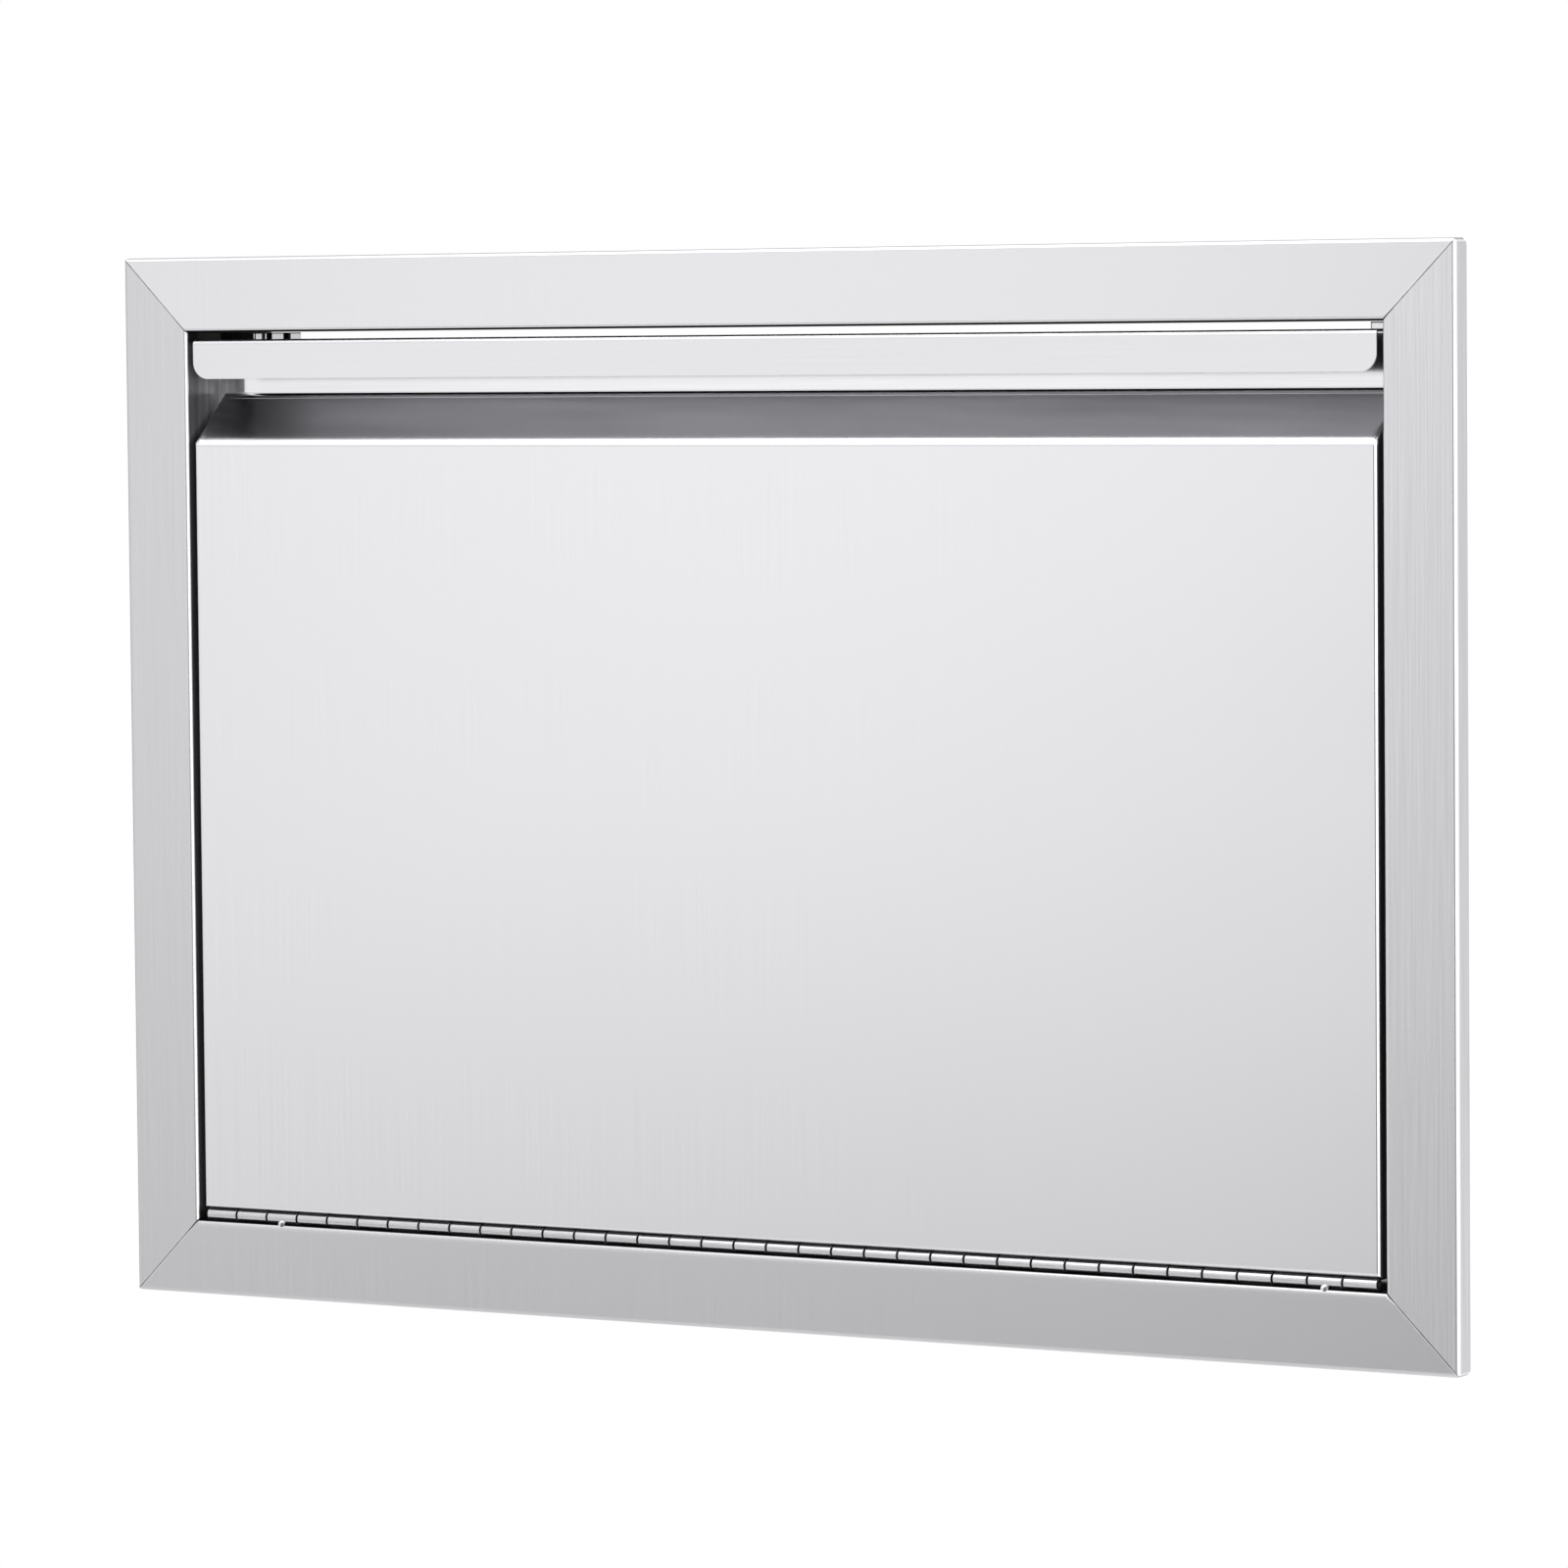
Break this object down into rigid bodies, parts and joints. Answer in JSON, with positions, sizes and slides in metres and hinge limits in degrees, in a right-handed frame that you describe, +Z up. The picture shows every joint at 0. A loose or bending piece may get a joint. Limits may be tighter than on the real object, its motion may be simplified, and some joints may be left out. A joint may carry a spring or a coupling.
{
  "type": "drop-down access door",
  "caption": "Flush stainless steel access door in a mitred frame, hinged along its lower edge on a continuous hinge, with a finger pull folded into its full-width top edge.",
  "frame": {"origin": "below the middle of the frame: centre of the width and of the depth, at the height of the frame's lowest edge", "axes": "+X to the right seen from the front, -Y out of the front face towards the user, +Y into the wall, +Z up"},
  "size_m": [0.6096, 0.0636, 0.4318],
  "materials": {
    "frame_steel": "brushed across each rail and stile, vertical grain",
    "door_steel": "fine vertical brushing",
    "pull_steel": "fine horizontal brushing",
    "liner_steel": "mill finish",
    "hinge_steel": "bright rolled",
    "weld": "raw weld bead",
    "plated_steel": "bright plated",
    "pole_steel": "ground",
    "catch_alloy": "satin",
    "ferrite": "dull ferrite"
  },
  "bodies": {
    "frame": {"frame_top_rail": "frame_steel", "frame_bottom_rail": "frame_steel", "frame_left_stile": "frame_steel", "frame_right_stile": "frame_steel", "corner_welds": "weld", "hinge_frame_leaf": "hinge_steel", "hinge_pin": "hinge_steel", "hinge_tack_welds": "weld", "hinge_frame_rivets": "plated_steel", "catch_housing_left": "catch_alloy", "catch_housing_right": "catch_alloy", "catch_magnet_left": "ferrite", "catch_magnet_right": "ferrite", "catch_poles_left": "pole_steel", "catch_poles_right": "pole_steel", "catch_screws_left": "plated_steel", "catch_screws_right": "plated_steel", "catch_nuts_left": "plated_steel", "catch_nuts_right": "plated_steel"},
    "door": {"door_panel": "door_steel", "door_pull": "pull_steel", "pull_seam_weld": "pull_steel", "door_liner": "liner_steel", "hinge_door_leaf": "hinge_steel", "hinge_door_rivets": "plated_steel", "liner_rivets": "plated_steel", "strike_plate_left": "pole_steel", "strike_plate_right": "pole_steel"}
  },
  "joints": [
    {"name": "door_hinge", "type": "hinge", "parent": "frame", "child": "door", "pos_m": [0, -0.02885, 0.0335], "axis": [1, 0, 0], "range_deg": [0, 100]}
  ]
}
